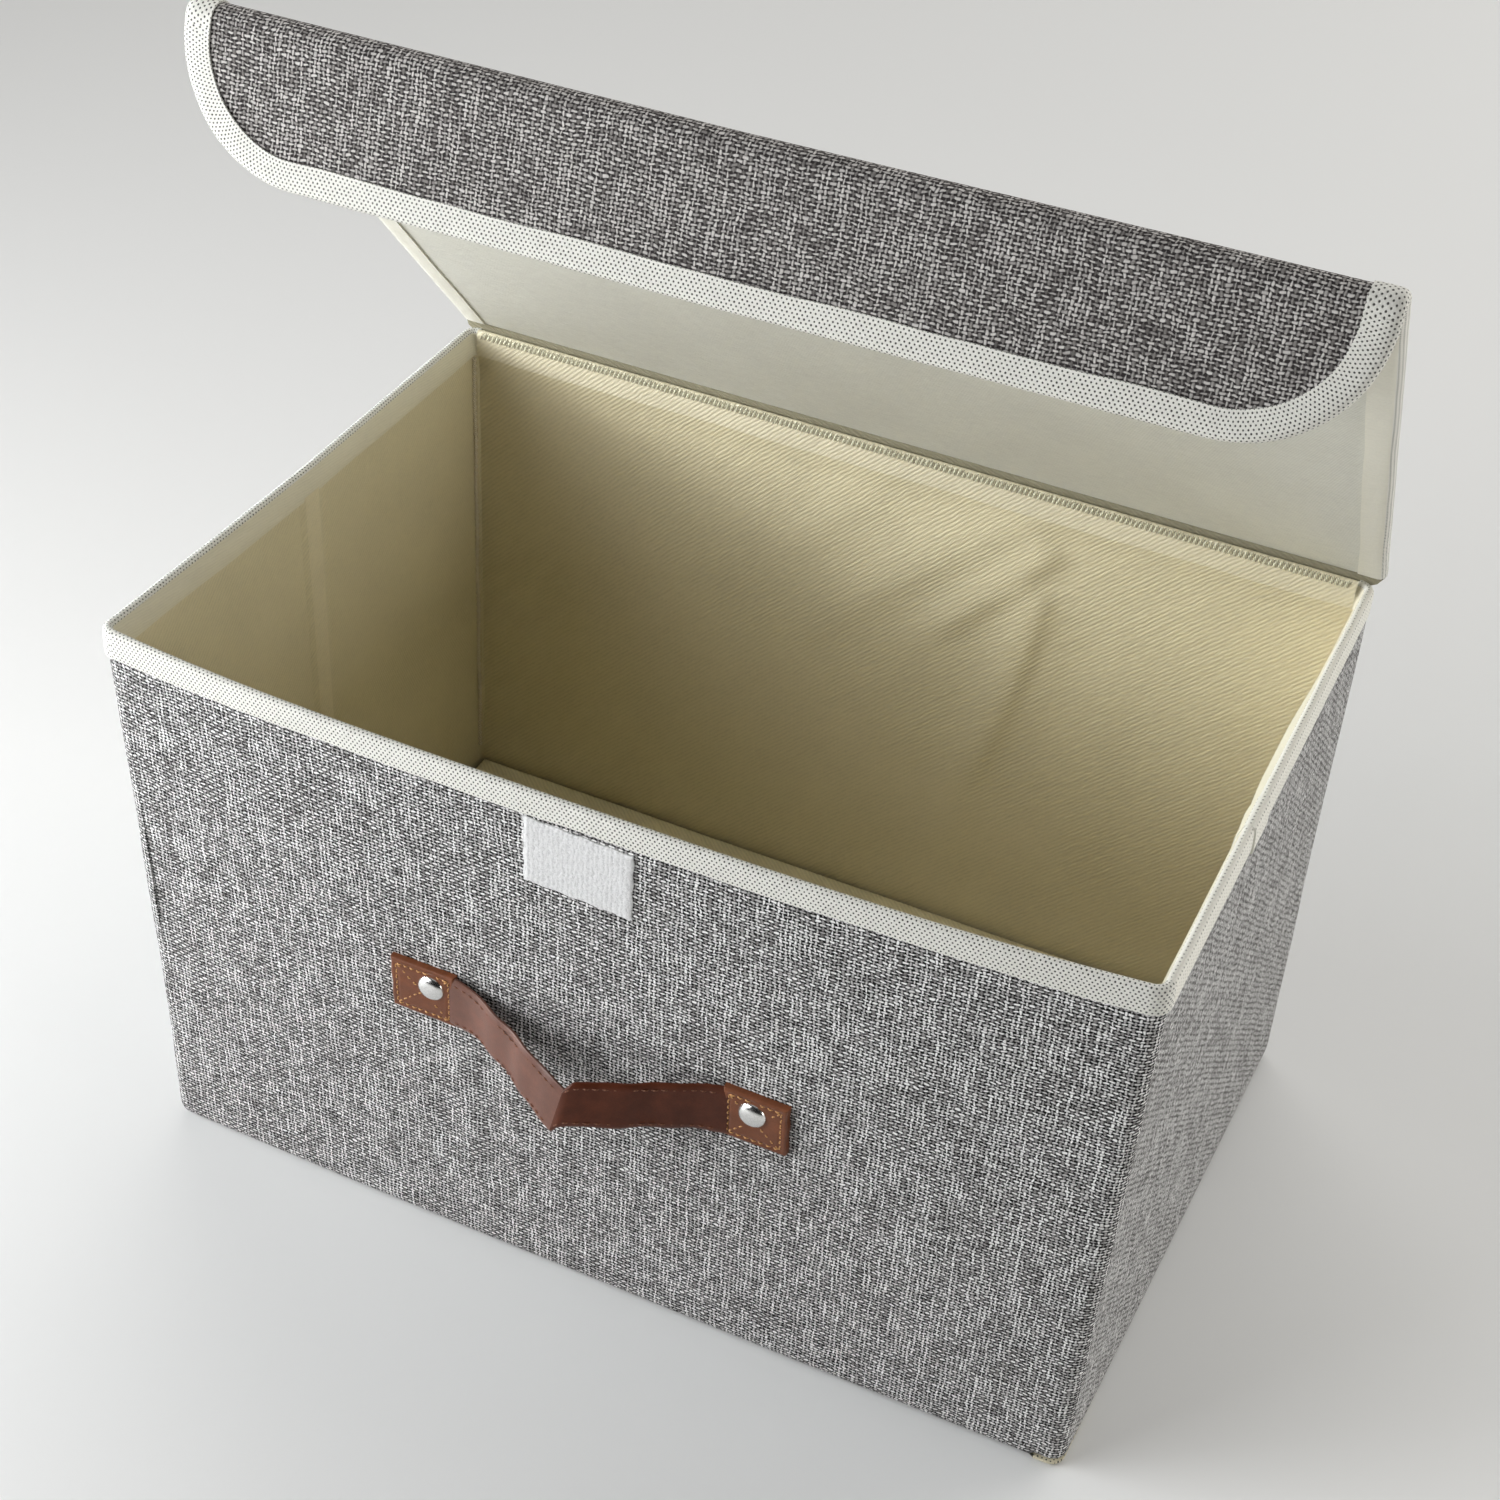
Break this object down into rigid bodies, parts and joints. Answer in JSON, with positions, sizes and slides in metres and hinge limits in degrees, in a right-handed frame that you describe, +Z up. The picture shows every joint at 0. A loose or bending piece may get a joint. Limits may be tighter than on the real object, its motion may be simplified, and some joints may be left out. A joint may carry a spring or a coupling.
{
  "type": "fabric storage bin",
  "caption": "Collapsible lidded storage bin of linen-look cloth over stiff board, with cream lining, bound edges, drop flap, hook-and-loop closure and riveted strap handle.",
  "frame": {"origin": "centre of the underside of the base", "axes": "+X to the right along the front, -Y out of the front wall with the handle, +Z up"},
  "size_m": [0.268, 0.1822, 0.2962],
  "materials": {
    "outer_cloth": "grey melange linen plain weave",
    "lining": "cream nonwoven with a fine embossed grain",
    "binding": "off-white nonwoven tape with a pin-dot emboss",
    "board": "grey-brown board, enclosed",
    "strap": "dark brown smooth leather-look, satin",
    "rivet": "polished domed",
    "closure": "white brushed loop"
  },
  "bodies": {
    "back_wall": {"back_outer": "outer_cloth", "back_board": "board", "back_lining": "lining", "back_rim_tape": "binding", "base_cloth": "lining", "seam_allowance": "lining"},
    "base_insert": {"base_cover": "lining", "base_board": "board"},
    "left_rear": {"left_rear_outer": "outer_cloth", "left_rear_board": "board", "left_rear_lining": "lining", "left_rear_rim_tape": "binding"},
    "left_front": {"left_front_outer": "outer_cloth", "left_front_board": "board", "left_front_lining": "lining", "left_front_rim_tape": "binding"},
    "front_wall": {"front_outer": "outer_cloth", "front_board": "board", "front_lining": "lining", "front_rim_tape": "binding", "loop_patch": "closure", "handle_ends": "strap", "rivet_caps": "rivet", "rivet_posts": "rivet", "rivet_backs": "rivet"},
    "right_front": {"right_front_outer": "outer_cloth", "right_front_board": "board", "right_front_lining": "lining", "right_front_rim_tape": "binding"},
    "right_rear": {"right_rear_outer": "outer_cloth", "right_rear_board": "board", "right_rear_lining": "lining", "right_rear_rim_tape": "binding"},
    "lid": {"lid_outer": "outer_cloth", "lid_board": "board", "lid_lining": "lining", "lid_tape_left": "binding", "lid_tape_right": "binding"},
    "lid_flap": {"flap_outer": "outer_cloth", "flap_board": "board", "flap_lining": "lining", "flap_tape": "binding", "hook_patch": "closure"},
    "handle": {"handle_strap": "strap"}
  },
  "joints": [
    {"name": "fold", "type": "hinge", "parent": "back_wall", "child": "left_rear", "pos_m": [-0.1262, 0.0778, 0.085], "axis": [0, 0, 1], "range_deg": [0, 87]},
    {"name": "fold_left_middle", "type": "hinge", "parent": "left_rear", "child": "left_front", "pos_m": [-0.1308, 0, 0.085], "axis": [0, 0, 1], "range_deg": [-174.5, 0]},
    {"name": "fold_front_left", "type": "hinge", "parent": "left_front", "child": "front_wall", "pos_m": [-0.1262, -0.0778, 0.085], "axis": [0, 0, 1], "range_deg": [0, 87.5]},
    {"name": "fold_front_right", "type": "hinge", "parent": "front_wall", "child": "right_front", "pos_m": [0.1262, -0.0778, 0.085], "axis": [0, 0, 1], "range_deg": [0, 87.5]},
    {"name": "fold_right_rear", "type": "hinge", "parent": "back_wall", "child": "right_rear", "pos_m": [0.1262, 0.0778, 0.085], "axis": [0, 0, 1], "range_deg": [-87.5, 0]},
    {"name": "lid_hinge", "type": "hinge", "parent": "back_wall", "child": "lid", "pos_m": [0, 0.0843, 0.1633], "axis": [-1, 0, 0], "range_deg": [-49, 64]},
    {"name": "flap_fold", "type": "hinge", "parent": "lid", "child": "lid_flap", "pos_m": [0, -0.02969, 0.29291], "axis": [1, 0, 0], "range_deg": [-34.5, 45]},
    {"name": "handle_swing", "type": "hinge", "parent": "front_wall", "child": "handle", "pos_m": [-0.0015, -0.0866, 0.0866], "axis": [-1, 0, 0], "range_deg": [-15, 50], "stiffness_Nm_per_rad": 0.01},
    {"name": "base_flip", "type": "hinge", "parent": "back_wall", "child": "base_insert", "pos_m": [0, 0.0804, 0.012], "axis": [-1, 0, 0], "range_deg": [0, 90]}
  ],
  "couplings": [
    {"joint": "fold_left_middle", "follows": "fold", "ratio": -2},
    {"joint": "fold_front_left", "follows": "fold", "ratio": 1},
    {"joint": "fold_front_right", "follows": "fold", "ratio": 1},
    {"joint": "fold_right_rear", "follows": "fold", "ratio": -1},
    {"joint": "flap_fold", "follows": "lid_hinge", "ratio": 0.7}
  ]
}
